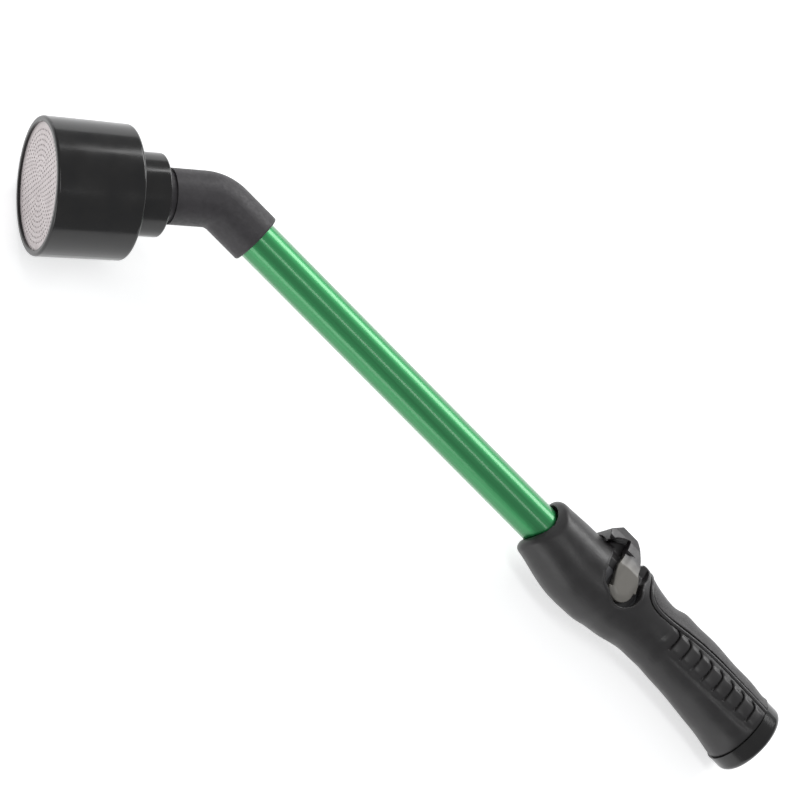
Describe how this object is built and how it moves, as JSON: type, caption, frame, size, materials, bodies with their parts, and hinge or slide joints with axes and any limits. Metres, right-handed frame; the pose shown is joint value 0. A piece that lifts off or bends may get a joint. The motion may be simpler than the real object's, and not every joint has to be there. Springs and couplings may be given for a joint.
{
  "type": "watering wand",
  "caption": "Garden watering wand with a shower-type water breaker on a bent neck, a straight tube and a rubber grip with a thumb-lever valve.",
  "frame": {"origin": "centre of the hose inlet's mouth", "axes": "+X along the tube towards the head, -Y to the thumb lever, +Y to the side the head bends to, Z across the wand"},
  "size_m": [0.4278, 0.1025, 0.0594],
  "materials": {
    "gloss_black": "glossy moulded plastic",
    "black_rubber": "matte seal rubber",
    "inner_plastic": "plain moulded plastic",
    "grip_rubber": "satin overmoulded rubber",
    "grip_panel": "finely textured rubber",
    "seat_plastic": "slick white plastic",
    "rotor_metal": "turned",
    "lever_plastic": "satin moulded plastic",
    "lock_ring_metal": "stamped",
    "green_tube": "green anodised, satin",
    "elbow_plastic": "matte moulded plastic",
    "face_metal": "satin perforated sheet"
  },
  "bodies": {
    "wand": {"inlet_collar": "gloss_black", "inlet_washer": "black_rubber", "handle_core": "inner_plastic", "grip_sleeve": "grip_rubber", "grip_insert": "grip_panel", "insert_bead": "grip_rubber", "seat_retainer": "inner_plastic", "valve_seat_rear": "seat_plastic", "valve_seat_front": "seat_plastic", "spindle_bushes": "seat_plastic", "spindle_o_rings": "black_rubber", "tube_o_rings": "black_rubber", "tube_lock_ring": "lock_ring_metal", "tube": "green_tube", "elbow": "elbow_plastic", "elbow_o_rings": "black_rubber"},
    "lever": {"thumb_lever": "lever_plastic", "valve_rotor": "rotor_metal"},
    "breaker_seat": {"head_washer": "black_rubber"},
    "breaker": {"breaker_shell": "gloss_black", "diffuser_disc": "inner_plastic", "face_gasket": "black_rubber", "spray_face": "face_metal", "face_ring": "gloss_black"}
  },
  "joints": [
    {"name": "lever_turn", "type": "hinge", "parent": "wand", "child": "lever", "pos_m": [0.0989, -0.0013, 0], "axis": [0, 0, -1], "range_deg": [0, 22]},
    {"name": "breaker_travel", "type": "slide", "parent": "wand", "child": "breaker_seat", "axis": [0.729, 0.6845, 0], "range_m": [0, 0.00884]},
    {"name": "breaker_turn", "type": "hinge", "parent": "breaker_seat", "child": "breaker", "pos_m": [0.3487, -0.0013, 0], "axis": [-0.729, -0.6845, 0], "range_deg": [0, 1440]}
  ],
  "couplings": [
    {"joint": "breaker_travel", "follows": "breaker_turn", "m_per_rad": 0.00035152}
  ]
}
